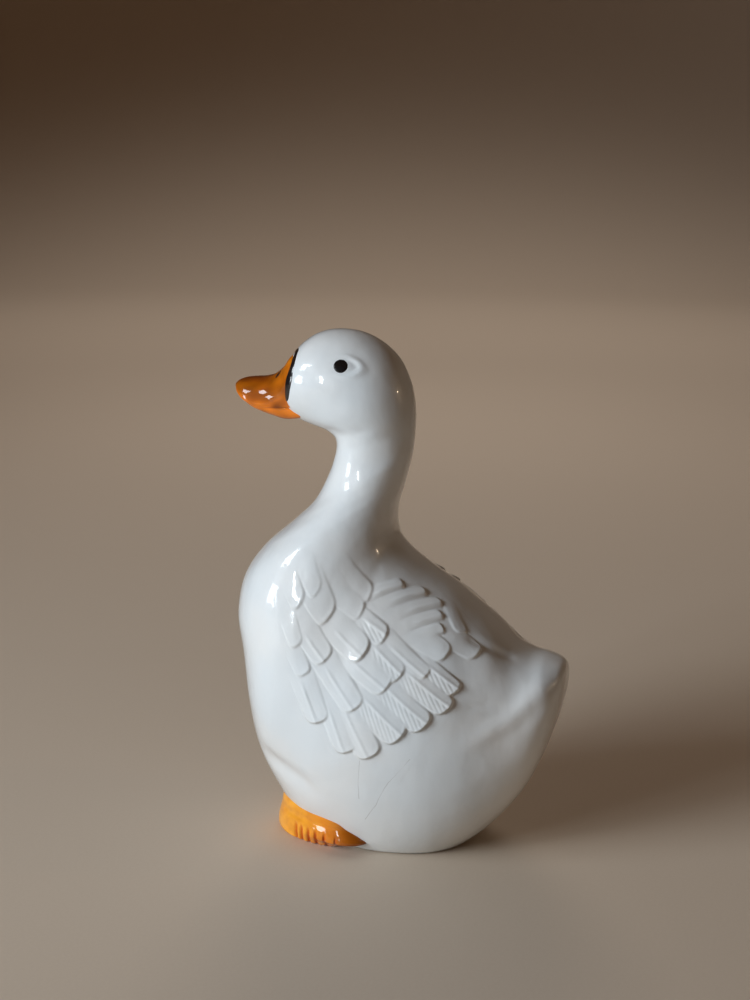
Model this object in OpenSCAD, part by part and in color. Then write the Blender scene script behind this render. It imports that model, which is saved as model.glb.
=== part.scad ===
/* [Size] */
// Overall height from the table to the crown
height = 175; // [140:1:220]
// Wall thickness of the hollow casting
wall = 4.5; // [3.5:0.1:6]
// Thickness of the unglazed bottom
floor_thick = 5.5; // [4:0.1:7]
// Diameter of the vent hole in the bottom
vent_diameter = 10; // [6:0.5:14]

/* [Wings] */
// Height of the wing above the body at the feather tips
feather_rise = 1.5; // [0.6:0.1:2]
// Width of one feather
feather_width = 11.5; // [8:0.5:16]

/* [Eyes and bill] */
// Diameter of an eye
eye_diameter = 4.7; // [3:0.1:6]
// Width of the black band at the root of the bill
band_width = 2.4; // [1.5:0.1:3.5]

/* [Feet] */
// Grooves along the outer edge of one foot
toe_grooves = 6; // [4:1:9]
// Depth of a toe groove
groove_depth = 0.8; // [0.3:0.1:1.2]

/* [Hidden] */
// All tables below are for a goose 175 mm tall and are scaled by this
k = height / 175;
SIDES = 48;
OVERLAP = 0.4;   // how far a raised zone sinks into the one below it

// Body sections from the tail to the forehead: [back y, back z, belly y, belly z, half width,
//  narrowing of the back, squareness of the back, squareness of the belly, hollow of the back]
stations = [
    [57.6, 65.6, 57.9, 63.8, 3.4, 0.00, 2.0, 2.4, 0],
    [56.6, 67.0, 58.0, 61.0, 7.2, 0.00, 2.0, 2.4, 0],
    [54.4, 68.2, 57.5, 56.0, 12.0, 0.00, 2.0, 2.4, 0.3],
    [50.6, 69.3, 56.0, 49.0, 17.0, 0.00, 2.1, 2.4, 0.5],
    [45.4, 70.2, 53.6, 40.5, 20.0, 0.00, 2.2, 2.4, 0.6],
    [39.8, 72.9, 50.4, 31.5, 22.3, 0.00, 2.3, 2.4, 0.4],
    [33.2, 78.7, 45.8, 22.0, 25.0, 0.00, 2.4, 2.3, 0],
    [26.2, 84.4, 39.0, 12.5, 28.9, 0.00, 2.2, 2.2, 0],
    [19.4, 90.0, 29.5, 2.5, 33.2, 0.00, 2.1, 2.1, 0],
    [12.5, 94.6, 15.5, -7.0, 36.6, 0.00, 2.0, 1.95, 0],
    [6.5, 98.8, -2.0, -12.5, 38.0, 0.00, 2.0, 1.78, 0],
    [1.7, 102.8, -17.5, -12.0, 38.0, 0.02, 2.0, 1.6, 0],
    [-1.2, 106.5, -31.0, -5.0, 37.0, 0.06, 2.0, 1.52, 0],
    [-2.1, 109.8, -41.2, 11.0, 35.5, 0.10, 2.0, 1.62, 0],
    [-2.2, 112.8, -48.2, 28.0, 34.0, 0.14, 2.0, 1.85, 0],
    [-1.8, 115.8, -51.7, 45.5, 32.5, 0.18, 2.0, 1.95, 0],
    [-1.1, 118.6, -53.5, 62.0, 30.5, 0.20, 2.0, 2.0, 0],
    [-0.2, 121.4, -55.8, 76.5, 28.0, 0.20, 2.0, 2.0, 0],
    [0.7, 124.3, -54.0, 89.5, 24.5, 0.18, 2.0, 2.0, 0],
    [1.6, 127.5, -47.4, 100.2, 20.0, 0.12, 2.0, 2.0, 0],
    [2.5, 131.0, -37.8, 109.2, 16.3, 0.06, 2.0, 2.0, 0],
    [3.3, 134.8, -30.0, 117.0, 14.0, 0.00, 2.0, 2.0, 0],
    [3.9, 138.8, -25.2, 126.0, 12.8, 0.00, 2.0, 2.0, 0],
    [4.2, 143.2, -22.6, 134.0, 13.0, 0.00, 2.0, 2.0, 0],
    [4.2, 148.0, -22.6, 138.8, 14.5, 0.00, 2.0, 2.0, 0],
    [3.5, 153.3, -25.0, 141.2, 16.0, 0.00, 2.0, 2.0, 0],
    [1.9, 159.3, -28.2, 142.4, 17.0, 0.00, 2.0, 2.0, 0],
    [-1.5, 166.0, -31.3, 143.3, 17.3, 0.00, 2.0, 2.0, 0],
    [-7.5, 171.5, -34.2, 144.3, 17.0, 0.00, 2.0, 2.0, 0],
    [-16.0, 174.8, -36.8, 145.6, 16.0, 0.00, 2.0, 2.0, 0],
    [-26.0, 174.6, -39.0, 147.5, 14.0, 0.00, 2.0, 2.0, 0],
    [-33.8, 170.6, -40.2, 150.0, 11.0, 0.00, 2.0, 2.0, 0],
    [-38.6, 163.8, -40.8, 153.0, 6.5, 0.00, 2.0, 2.0, 0],
    [-40.2, 160.3, -41.0, 156.0, 2.5, 0.00, 2.0, 2.0, 0]
];

// Bill sections from root to tip: [y, top z, bottom z, half width, mouth z, squareness,
//  extra half width above the mouth]
bill = [
    [-32.0, 167.6, 145.6, 11.5, 149.8, 3.8, 2.6],
    [-36.2, 166.8, 144.7, 9.8, 149.7, 3.8, 2.9],
    [-39.8, 162.8, 144.3, 9.3, 149.4, 2.9, 1.3],
    [-43.5, 159.6, 145.0, 8.7, 149.1, 2.4, 0.3],
    [-47.0, 158.3, 145.9, 8.1, 149.1, 2.2, 0],
    [-50.8, 157.9, 147.4, 7.4, 149.7, 2.1, 0],
    [-54.2, 157.4, 149.9, 6.2, 151.1, 2.0, 0],
    [-56.7, 156.5, 152.2, 4.0, 152.9, 2.0, 0],
    [-58.0, 155.5, 154.0, 1.6, 154.3, 2.0, 0]
];

// Outline of the left foot on the table, turning counterclockwise seen from above
foot = [[3, -40], [8, -41], [12.7, -39], [17.6, -34.6], [20.8, -28.8], [22.5, -22.5], [22.3, -16.5],
    [19, -11.5], [12, -8.5], [4, -14], [1.5, -24], [1.5, -34]];
// Sections of the foot: [z, size of the outline, depth of the toe grooves, drift of the heel], the last three 0 to 1
foot_rings = [[0, 0.98, 1, 0], [2, 1, 1, 0.15], [4, 0.99, 0.9, 0.85], [6.5, 0.95, 0.15, 0.82], [9, 0.9, 0, 0.75],
    [11.5, 0.87, 0, 0.75], [14, 0.82, 0, 0.75], [16, 0.75, 0, 0.7]];
FOOT_TOP = [15, -26];     // the sections close in on this point
HEEL_DRIFT = [8, 7.4];    // above the table the heel leans this far out and back
TOES = [2.95, 6.25];      // stretch of the outline that has the toe grooves
FOOT_PLACES = [for (t = [0 : 0.4 : 2.8]) t, for (t = [3 : 0.08 : 6.2]) t, for (t = [6.6 : 0.4 : 11.8]) t];

// Rows of feather tips, measured along the feathers from the shoulder
tip_rows = [8, 19, 31, 45, 60];
SHOULDER = [-31.5, 38];
SLANT = 33;      // how far the feathers point down from the level
// Where the wing patch begins and ends round the body: [towards the back, towards the belly], one row
// for every second body section from number 6
wing_span = [[12, 66], [8, 80], [12, 100], [26, 103], [42, 103], [64, 105], [88, 108]];
WING_SIDES = 26;
AXIS_Z = 50;     // height of the line that the wing wraps round
WRAP = 38;       // radius of that wrap

function clamp(v, low, high) = max(low, min(high, v));
function bend(p0, p1, p2, p3, u) =   // Catmull-Rom curve from p1 to p2
    0.5 * (2 * p1 + (p2 - p0) * u + (2 * p0 - 5 * p1 + 4 * p2 - p3) * u * u
        + (3 * p1 - p0 - 3 * p2 + p3) * u * u * u);
function along(rows, t) =
    let (last = len(rows) - 1, i = clamp(floor(t), 0, last - 1), u = t - i)
    bend(rows[max(i - 1, 0)], rows[i], rows[i + 1], rows[min(i + 2, last)], u);
function around(rows, t) =   // the same for a closed outline
    let (n = len(rows), i = floor(t), u = t - i)
    bend(rows[(i + n - 1) % n], rows[i % n], rows[(i + 1) % n], rows[(i + 2) % n], u);
function power(v, n) = sign(v) * pow(abs(v), 2 / n);
function ease(v) = let (u = clamp(v, 0, 1)) u * u * (3 - 2 * u);   // soft step from 0 to 1

// Point of the body's skin on section t: 0 is the back, 90 the bird's left, 180 the belly
function skin(t, a, depth = 0, low = 0) =
    let (s = along(stations, t), c = cos(a), n = c > 0 ? s[6] : s[7],
        mid = [s[0] + s[2], s[1] + s[3]] / 2, chord = [s[0] - s[2], s[1] - s[3]] / 2,
        half = chord * (1 - depth / norm(chord)),
        w = s[4] - depth,
        x = w * power(sin(a), n) * (1 - s[5] * c),
        dip = c > 0 ? s[8] * c * exp(-pow(1.6 * x / w, 2)) : 0,
        p = mid + half * power(c, n) - [0, dip])
    [x, p.x, max(p.y, low)];
function normal(t, a) =
    let (n = cross(skin(t + 0.05, a) - skin(t - 0.05, a), skin(t, a + 1) - skin(t, a - 1)))
    n / norm(n);

// Closed solid through rings that have the same number of points
module loft(rings) {
    n = len(rings[0]);
    m = len(rings);
    points = [for (r = rings, p = r) p * k];
    sides = [for (i = [0 : m - 2], j = [0 : n - 1]) each [
        [i * n + j, (i + 1) * n + (j + 1) % n, (i + 1) * n + j],
        [i * n + j, i * n + (j + 1) % n, (i + 1) * n + (j + 1) % n]
    ]];
    ends = [[for (j = [n - 1 : -1 : 0]) j], [for (j = [0 : n - 1]) (m - 1) * n + j]];
    polyhedron(points, concat(sides, ends));
}

module outside() {
    loft([for (t = [0 : 0.5 : len(stations) - 1]) [for (j = [0 : SIDES - 1]) skin(t, j * 360 / SIDES)]]);
}

module cavity() {
    loft([for (t = [3 : 1 : len(stations) - 4]) [for (j = [0 : 31]) skin(t, j * 360 / 32, wall, floor_thick)]]);
}

module base_outline() {
    translate([0, -4 * k]) scale([15 * k, 20 * k]) circle(r = 1, $fn = 48);
}

module body_shell() {
    color("white") difference() {
        outside();
        cavity();
        translate([0, 0, -1]) linear_extrude(floor_thick * k + 2) base_outline();
    }
}

module base_disc() {
    color("tan") difference() {
        linear_extrude(floor_thick * k) base_outline();
        translate([0, -4 * k, -1]) cylinder(d = vent_diameter * k, h = floor_thick * k + 2, $fn = 48);
    }
}

// Place on the wing seen flat: x along the feathers, y across them towards the back
function on_wing(p) =
    let (d = [p.y, WRAP * atan2(p.z - AXIS_Z, p.x) * PI / 180] - SHOULDER)
    [d.x * cos(SLANT) - d.y * sin(SLANT), d.x * sin(SLANT) + d.y * cos(SLANT)];

// Height of the wing over the skin: overlapping rows that rise towards rounded tips
function feather(q, i) =
    let (shift = i % 2 == 0 ? 0 : 180,
        round_tip = 2.2 * (1 - cos(360 * q.y / feather_width + shift)) / 2,
        end = tip_rows[i] - round_tip,
        start = i == 0 ? 0 : tip_rows[i - 1] - 3)
    q.x > end ? 0 : clamp((q.x - start) / (end - start), 0, 1);
function wing_edge(q) =   // 1 well inside the wing, falling to 0 at its rim
    let (low = max(-1 - 0.75 * q.x, -24), high = min(max(2 + q.x, 1.6 * q.x - 7), 42),
        end = 62 - 12 * pow((q.y - 10) / 33, 2))
    clamp(min(q.y - low, (high - q.y) / 2, q.x + 1, end - q.x) / 2.5, 0, 1);
function wing_height(q) =
    let (rows = [for (i = [0 : len(tip_rows) - 1]) feather(q, i)], edge = wing_edge(q),
        fade = 1 - 0.6 * clamp((q.y - 18) / 20, 0, 1))
    edge * fade * feather_rise * (0.45 + 0.55 * max(rows)) - OVERLAP * (1 - edge);

module left_wing() {
    color("whitesmoke") loft([for (t = [6 : 0.3 : 17.4])
        let (top = along(wing_span, (t - 6) / 2)[0], low = along(wing_span, (t - 6) / 2)[1])
        concat(
            [for (u = [0 : 1 / WING_SIDES : 1])
                let (a = top + (low - top) * u)
                skin(t, a) + normal(t, a) * wing_height(on_wing(skin(t, a)))],
            [for (u = [1 : -2 / WING_SIDES : 0])
                let (a = top + (low - top) * u)
                skin(t, a) - normal(t, a) * 1.2]
        )
    ]);
}

module right_wing() {
    mirror([1, 0, 0]) left_wing();
}

// One section of the bill above (side 1) or below (side -1) the mouth
function bill_ring(t, side) =
    let (s = along(bill, t), reach = side > 0 ? s[1] - s[4] : s[4] - s[2], w = side > 0 ? s[3] : s[3] * 0.9)
    [for (a = side > 0 ? [180 : -10 : 0] : [0 : 10 : 180])
        let (share = power(sin(a), s[5]), cheek = side > 0 ? s[6] * (1 - pow(1 - share, 3)) : 0)
        [(w + cheek) * power(cos(a), s[5]), s[0], s[4] + side * (reach * share - 0.15)]];

module upper_bill() {
    color("orange") loft([for (t = [0 : 0.5 : len(bill) - 1]) bill_ring(t, 1)]);
}

module lower_bill() {
    color("darkorange") loft([for (t = [0 : 0.5 : len(bill) - 1]) bill_ring(t, -1)]);
}

// The band lies on the head round the root of the bill and stops at the corners of the mouth
module bill_band() {
    half = band_width / 2;
    color("black") loft([for (a = [-132 : 6 : 132])
        let (t = 31.65 - 0.6 * ease(abs(a) / 50) - 1.1 * pow(a / 130, 2),
            c = skin(t, a), n = normal(t, a),
            ahead = skin(t + 0.1, a) - skin(t - 0.1, a), d = ahead / norm(ahead))
        [c - d * half - n * OVERLAP, c + d * half - n * OVERLAP, c + d * half + n * 0.35, c - d * half + n * 0.35]
    ]);
}

// Domed button set on the surface at p, facing the direction n
module button(p, n, d, rise) {
    translate(p * k) rotate([0, acos(n.z / norm(n)), atan2(n.y, n.x)]) scale(k)
        rotate_extrude($fn = 32) polygon(concat(
            [[0, -OVERLAP], [d / 2, -OVERLAP]],
            [for (a = [0 : 15 : 75]) [d / 2 * cos(a), rise * sin(a)]],
            [[0, rise]]
        ));
}

module left_nostril() {
    color("saddlebrown") button([5.2, -41.4, 160.15], [0.4, -0.5, 0.77], 2.2, 0.4);
}

module right_nostril() {
    mirror([1, 0, 0]) left_nostril();
}

module left_eye() {
    color("black") button(skin(28.35, 63.5), normal(28.35, 63.5), eye_diameter, 1);
}

module right_eye() {
    mirror([1, 0, 0]) left_eye();
}

// The foot stands out from under the belly; what would lie inside the body is cut away
function foot_ring(r) = [for (t = FOOT_PLACES)
    let (p = around(foot, t),
        heel = ease((p.y + 40) / 30) * ease(p.x / 6),
        on_rim = t > TOES[0] + 0.2 && t < TOES[1] - 0.2 ? 1 : 0,
        turn = 180 * (t - TOES[0]) * (toe_grooves + 1) / (TOES[1] - TOES[0]),
        groove = on_rim * r[2] * groove_depth * pow(cos(turn), 4),
        spot = FOOT_TOP + (p - FOOT_TOP) * r[1] + HEEL_DRIFT * r[3] * heel,
        out = (p - FOOT_TOP) / norm(p - FOOT_TOP),
        q = spot - out * groove)
    [q.x, q.y, r[0]]];

module left_foot() {
    color("orange") difference() {
        loft([for (i = [len(foot_rings) - 1 : -1 : 0]) foot_ring(foot_rings[i])]);
        outside();
    }
}

module right_foot() {
    mirror([1, 0, 0]) left_foot();
}

body_shell();
base_disc();
left_wing();
right_wing();
upper_bill();
lower_bill();
bill_band();
left_nostril();
right_nostril();
left_eye();
right_eye();
left_foot();
right_foot();
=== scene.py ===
"""Looks of the ceramic goose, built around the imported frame.

Shapes are worked out in millimetres for a goose 175 mm tall, in the frame's own axes, and are
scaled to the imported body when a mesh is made. +Z is up, the bill points along -Y, +X is the left.
"""

import math

import bpy
import numpy as np
from mathutils import Matrix, Vector
from mathutils.bvhtree import BVHTree


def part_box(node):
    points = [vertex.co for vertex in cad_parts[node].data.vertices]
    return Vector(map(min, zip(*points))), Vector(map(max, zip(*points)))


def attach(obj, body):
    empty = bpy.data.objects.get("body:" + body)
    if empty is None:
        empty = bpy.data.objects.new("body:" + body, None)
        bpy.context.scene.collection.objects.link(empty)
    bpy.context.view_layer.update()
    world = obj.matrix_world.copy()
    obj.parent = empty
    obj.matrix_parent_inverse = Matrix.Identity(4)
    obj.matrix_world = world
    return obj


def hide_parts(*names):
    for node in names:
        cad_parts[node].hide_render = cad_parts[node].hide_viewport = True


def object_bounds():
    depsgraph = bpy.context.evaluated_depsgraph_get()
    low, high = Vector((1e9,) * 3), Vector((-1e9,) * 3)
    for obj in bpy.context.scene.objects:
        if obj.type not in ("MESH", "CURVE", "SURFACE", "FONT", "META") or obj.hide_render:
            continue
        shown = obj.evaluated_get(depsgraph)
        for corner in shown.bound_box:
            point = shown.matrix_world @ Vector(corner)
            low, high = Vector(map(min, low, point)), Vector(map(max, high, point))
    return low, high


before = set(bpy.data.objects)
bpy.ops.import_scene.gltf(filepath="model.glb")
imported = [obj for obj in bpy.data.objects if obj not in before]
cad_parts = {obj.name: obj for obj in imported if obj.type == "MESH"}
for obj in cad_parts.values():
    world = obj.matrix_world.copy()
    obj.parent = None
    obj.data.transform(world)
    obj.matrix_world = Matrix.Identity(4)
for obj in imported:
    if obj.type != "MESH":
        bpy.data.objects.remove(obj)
cad_low, cad_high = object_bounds()

# ---------------------------------------------------------------- sizes

DESIGN_HEIGHT = 175.156  # height in mm of the body that the tables below describe
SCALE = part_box("body_shell")[1].z / DESIGN_HEIGHT  # metres for one design millimetre
FINE = 1.0  # mesh density
WALL = 4.5
FLOOR_THICK = 5.5
OPENING = (0.0, -4.0, 15.0, 20.0)  # centre x and y and half axes of the bottom plate
VENT_RADIUS = 5.0
FOOT_EDGE = 0.9  # the body rounds off this far above and below the table
EYE_SPOT = (28.35, 63.5)  # section and angle of the eye's centre
EYE_RADIUS = 2.35
NOSTRIL_SPOT = (5.8, -41.4, 159.8)

# Body sections from the tail to the forehead: [back y, back z, belly y, belly z, half width,
#  narrowing of the back, squareness of the back, squareness of the belly, hollow of the back]
STATIONS = [
    [57.6, 65.6, 57.9, 63.8, 3.4, 0.00, 2.0, 2.4, 0],
    [56.6, 67.0, 58.0, 61.0, 7.2, 0.00, 2.0, 2.4, 0],
    [54.4, 68.2, 57.5, 56.0, 12.0, 0.00, 2.0, 2.4, 0.3],
    [50.6, 69.3, 56.0, 49.0, 17.0, 0.00, 2.1, 2.4, 0.5],
    [45.4, 70.2, 53.6, 40.5, 20.0, 0.00, 2.2, 2.4, 0.6],
    [39.8, 72.9, 50.4, 31.5, 22.3, 0.00, 2.3, 2.4, 0.4],
    [33.2, 78.7, 45.8, 22.0, 25.0, 0.00, 2.4, 2.3, 0],
    [26.2, 84.4, 39.0, 12.5, 28.9, 0.00, 2.2, 2.2, 0],
    [19.4, 90.0, 29.5, 2.5, 33.2, 0.00, 2.1, 2.1, 0],
    [12.5, 94.6, 15.5, -7.0, 36.6, 0.00, 2.0, 1.95, 0],
    [6.5, 98.8, -2.0, -12.5, 38.0, 0.00, 2.0, 1.78, 0],
    [1.7, 102.8, -17.5, -12.0, 38.0, 0.02, 2.0, 1.6, 0],
    [-1.2, 106.5, -31.0, -5.0, 37.0, 0.06, 2.0, 1.52, 0],
    [-2.1, 109.8, -41.2, 11.0, 35.5, 0.10, 2.0, 1.62, 0],
    [-2.2, 112.8, -48.2, 28.0, 34.0, 0.14, 2.0, 1.85, 0],
    [-1.8, 115.8, -51.7, 45.5, 32.5, 0.18, 2.0, 1.95, 0],
    [-1.1, 118.6, -53.5, 62.0, 30.5, 0.20, 2.0, 2.0, 0],
    [-0.2, 121.4, -55.8, 76.5, 28.0, 0.20, 2.0, 2.0, 0],
    [0.7, 124.3, -54.0, 89.5, 24.5, 0.18, 2.0, 2.0, 0],
    [1.6, 127.5, -47.4, 100.2, 20.0, 0.12, 2.0, 2.0, 0],
    [2.5, 131.0, -37.8, 109.2, 16.3, 0.06, 2.0, 2.0, 0],
    [3.3, 134.8, -30.0, 117.0, 14.0, 0.00, 2.0, 2.0, 0],
    [3.9, 138.8, -25.2, 126.0, 12.8, 0.00, 2.0, 2.0, 0],
    [4.2, 143.2, -22.6, 134.0, 13.0, 0.00, 2.0, 2.0, 0],
    [4.2, 148.0, -22.6, 138.8, 14.5, 0.00, 2.0, 2.0, 0],
    [3.5, 153.3, -25.0, 141.2, 16.0, 0.00, 2.0, 2.0, 0],
    [1.9, 159.3, -28.2, 142.4, 17.0, 0.00, 2.0, 2.0, 0],
    [-1.5, 166.0, -31.3, 143.3, 17.3, 0.00, 2.0, 2.0, 0],
    [-7.5, 171.5, -34.2, 144.3, 17.0, 0.00, 2.0, 2.0, 0],
    [-16.0, 174.8, -36.8, 145.6, 16.0, 0.00, 2.0, 2.0, 0],
    [-26.0, 174.6, -39.0, 147.5, 14.0, 0.00, 2.0, 2.0, 0],
    [-33.8, 170.6, -40.2, 150.0, 11.0, 0.00, 2.0, 2.0, 0],
    [-38.6, 163.8, -40.8, 153.0, 6.5, 0.00, 2.0, 2.0, 0],
    [-40.2, 160.3, -41.0, 156.0, 2.5, 0.00, 2.0, 2.0, 0],
]

# Bill sections from root to tip: [y, top z, bottom z, half width, mouth z, squareness,
#  extra half width above the mouth]
BILL = [
    [-32.0, 167.6, 145.6, 11.5, 149.8, 3.8, 2.6],
    [-36.2, 166.8, 144.7, 9.8, 149.7, 3.8, 2.9],
    [-39.8, 162.8, 144.3, 9.3, 149.4, 2.9, 1.3],
    [-43.5, 159.6, 145.0, 8.7, 149.1, 2.4, 0.3],
    [-47.0, 158.3, 145.9, 8.1, 149.1, 2.2, 0],
    [-50.8, 157.9, 147.4, 7.4, 149.7, 2.1, 0],
    [-54.2, 157.4, 149.9, 6.2, 151.1, 2.0, 0],
    [-56.7, 156.5, 152.2, 4.0, 152.9, 2.0, 0],
    [-58.0, 155.5, 154.0, 1.6, 154.3, 2.0, 0],
]

# Outline of the left foot on the table, turning counterclockwise seen from above
FOOT = [
    [3, -40], [8, -41], [12.7, -39], [17.6, -34.6], [20.8, -28.8], [22.5, -22.5], [22.3, -16.5],
    [19, -11.5], [12, -8.5], [4, -14], [1.5, -24], [1.5, -34],
]
# Sections of the foot: [z, size of the outline, drift of the heel]
FOOT_RINGS = [
    [0, 0.98, 0], [2, 1, 0.28], [4, 0.99, 0.85], [6.5, 0.95, 0.83],
    [9, 0.9, 0.75], [11.5, 0.87, 0.75], [14, 0.82, 0.75], [16, 0.75, 0.7],
]
FOOT_TOP = (15.0, -26.0)  # the foot's sections close in on this point
HEEL_DRIFT = (8.0, 7.4)  # above the table the heel leans this far out and back
TOE_LINES = (-31.0, -28.6, -25.6, -22.4, -18.7, -14.2)  # y of every toe groove

# The wing seen flat: x along the feathers from the shoulder, y across them towards the back
SHOULDER = (-31.5, 38.0)
SLANT = math.radians(33)  # how far the feathers point down from the level
AXIS_Z = 50.0  # height of the line that the wing wraps round
WRAP = 38.0  # radius of that wrap
PATCH_START = -5.0  # the wing patch: lower and upper edge across, one row every PATCH_STEP mm
PATCH_STEP = 9.0
PATCH_EDGES = [
    [-4, 6], [-12, 14], [-20, 24], [-26, 33], [-30, 39], [-32, 42], [-32, 42], [-30, 40], [-26, 36],
]
# Every feather: [root along, root across, tip along, tip across, width, rise, barbs].
# Barbs are 1 on the upper vane, -1 on the lower vane and 0 on a smooth feather.
FEATHERS = [
    [2, 1, 7, 0, 5.5, 0.45, 0],
    [5, 6, 10, 5, 5.5, 0.5, 0],
    [8, 5, 16, 4, 8.5, 0.6, 0],
    [14, 14, 22, 17, 5.5, 0.6, 0],
    [14, 10, 23, 12, 6.5, 0.7, 0],
    [6, -5, 12, -8, 5.5, 0.5, 0],
    [11, -3, 22, -5, 8, 0.75, 0],
    [17, 4, 31, 4, 9.5, 1.3, 0],
    [22, 10, 33, 12, 7, 0.85, -1],
    [12, -10, 19, -13, 6, 0.6, 0],
    [18, -14, 32, -23, 9, 0.8, 0],
    [20, -5, 39, -11, 9, 0.95, 0],
    [25, 1, 43, 1, 9.5, 1.05, 0],
    [29, 7, 44, 6, 8.5, 1.0, -1],
    [32, 12, 50, 12, 6.5, 0.95, 0],
    [29, -14, 45, -25, 8.5, 0.85, 0],
    [33, -11, 52, -21, 9.5, 1.05, 0],
    [35, -7, 56, -10, 10, 1.25, -1],
    [38, 0, 60, -2, 9.5, 1.4, -1],
    [40, 8, 62, 7, 8.5, 1.45, -1],
    [44, 14, 60, 14, 7.5, 1.25, -1],
    [21, 15, 26, 27, 3.2, 0.55, 0],
    [26, 18, 31, 32, 3.4, 0.6, 0],
    [31, 19, 36, 34, 3.6, 0.6, 0],
    [35, 19, 39.5, 31, 3.8, 0.6, 0],
    [39, 18, 43, 28, 3.8, 0.6, 0],
    [40, 20, 50, 22, 8.5, 0.7, 0],
    [38, 36, 47, 32, 5, 0.6, 0],
    [46, 28, 55, 31, 9.5, 0.75, 0],
]

# Long hairline cracks in the glaze of the left flank
CRACKS = [
    [(38, -2.6, 41), (37, -3.4, 34), (35, -3.4, 26)],
    [(36.6, 14, 42.6), (36.8, 7, 34), (34.6, 2, 24), (32, -2.4, 17.5)],
    [(29.6, 29.4, 53.6), (30, 30, 47)],
]

# Soft furrows of the left half: [points of the path, depth, radius, share of it that runs out].
# One with a negative depth is a ridge.
FURROWS = [
    # fold of the belly above the foot
    [[(16, -45, 32), (23, -38, 30), (29, -26, 26), (31, -17, 20)], 1.1, 4.0, 0.35],
    # crease at the root of the tail, and the lip under it
    [[(28.4, 29.3, 58.8), (25, 35, 58.3), (20.1, 40.9, 57.8)], 0.45, 0.8, 0.18],
    [[(28, 30, 57), (24.6, 35.4, 56.4), (19.5, 41.5, 55.8)], -0.25, 1.2, 0.18],
    # edge of the tail, from near its tip down to the flank
    [
        [
            (11, 53.5, 66), (16, 51, 62.5), (19.6, 47, 58),
            (23.2, 42, 53), (28, 33.3, 48), (33, 24, 42),
        ],
        -0.85, 3.2, 0.35,
    ],
    # hollow from the back down to the tail
    [[(20, 27, 80), (14.5, 35, 74), (9, 43, 70.3)], 0.8, 2.0, 0.18],
    # crease under the jaw
    [[(8, -25, 143), (12, -19, 142.5), (15, -11, 143), (15, -5, 143.5)], 0.45, 2.6, 0.35],
]

# ---------------------------------------------------------------- shape helpers


def spline(p0, p1, p2, p3, u):
    """Catmull-Rom curve from p1 to p2, at u from 0 to 1."""
    bend = (2 * p0 - 5 * p1 + 4 * p2 - p3) * u**2 + (3 * p1 - p0 - 3 * p2 + p3) * u**3
    return 0.5 * (2 * p1 + (p2 - p0) * u + bend)


def along(rows, t):
    """Smooth curve through the rows at t, which counts rows from 0."""
    rows, t = np.asarray(rows, float), np.asarray(t, float)
    last = len(rows) - 1
    i = np.clip(np.floor(t).astype(int), 0, last - 1)
    near = [rows[np.clip(i + step, 0, last)] for step in (-1, 0, 1, 2)]
    return spline(*near, (t - i)[..., None])


def around(rows, t):
    """The same through a closed outline."""
    rows, t = np.asarray(rows, float), np.asarray(t, float)
    i = np.floor(t).astype(int)
    near = [rows[(i + step) % len(rows)] for step in (-1, 0, 1, 2)]
    return spline(*near, (t - i)[..., None])


def power(v, n):
    """Turns a sine or cosine into that of a superellipse; 2 keeps it round, more is squarer."""
    return np.sign(v) * np.abs(v) ** (2 / n)


def smooth(low, high, v):
    """0 below low, 1 above high and an even S curve between them."""
    u = np.clip((v - low) / (high - low), 0, 1)
    return u * u * (3 - 2 * u)


def unit(v):
    return v / np.maximum(np.linalg.norm(v, axis=-1, keepdims=True), 1e-9)


def skin(t, degrees, depth=0.0):
    """The plain body at section t. Angle 0 is the back, 90 the bird's left, 180 the belly."""
    s = along(STATIONS, t)
    c, side = np.cos(np.radians(degrees)), np.sin(np.radians(degrees))
    square = np.where(c > 0, s[..., 6], s[..., 7])
    middle = (s[..., 0:2] + s[..., 2:4]) / 2
    chord = (s[..., 0:2] - s[..., 2:4]) / 2
    half = chord * (1 - depth / np.linalg.norm(chord, axis=-1, keepdims=True))
    width = s[..., 4] - depth
    x = width * power(side, square) * (1 - s[..., 5] * c)
    hollow = np.where(c > 0, s[..., 8] * c * np.exp(-((1.6 * x / width) ** 2)), 0)
    yz = middle + half * power(c, square)[..., None]
    return np.stack([x, yz[..., 0], yz[..., 1] - hollow], -1)


def grid_normals(points, closed):
    """Outward normals of a grid of points whose second direction may close on itself."""
    first = np.gradient(points, axis=0)
    if closed:
        second = np.roll(points, -1, 1) - np.roll(points, 1, 1)
    else:
        second = np.gradient(points, axis=1)
    return unit(np.cross(first, second))


def near_path(points, path):
    """Distance of every point to a line of straight stretches, and how far along it, 0 to 1."""
    path = np.asarray(path, float)
    best = np.full(points.shape[:-1], 1e9)
    place = np.zeros(points.shape[:-1])
    for i in range(len(path) - 1):
        step = path[i + 1] - path[i]
        u = np.clip(((points - path[i]) @ step) / (step @ step), 0, 1)
        gap = np.linalg.norm(points - path[i] - u[..., None] * step, axis=-1)
        closer = gap < best
        best = np.where(closer, gap, best)
        place = np.where(closer, (i + u) / (len(path) - 1), place)
    return best, place


def waves(points, seed, length, count=9):
    """Soft unevenness between about -1 and 1 with bumps about that many mm long."""
    random = np.random.default_rng(seed)
    total = np.zeros(points.shape[:-1])
    for _ in range(count):
        direction = unit(random.normal(size=3))
        pitch = length * random.uniform(0.7, 1.4)
        total += np.sin(points @ direction * 2 * math.pi / pitch + random.uniform(0, 6.3))
    return total / math.sqrt(count)


def soft_floor(z):
    """Heights below the table come up to it, with a rounded edge."""
    rounded = (z + FOOT_EDGE) ** 2 / (4 * FOOT_EDGE)
    return np.where(z > FOOT_EDGE, z, np.where(z < -FOOT_EDGE, 0, rounded))


# ---------------------------------------------------------------- mesh helpers


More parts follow.
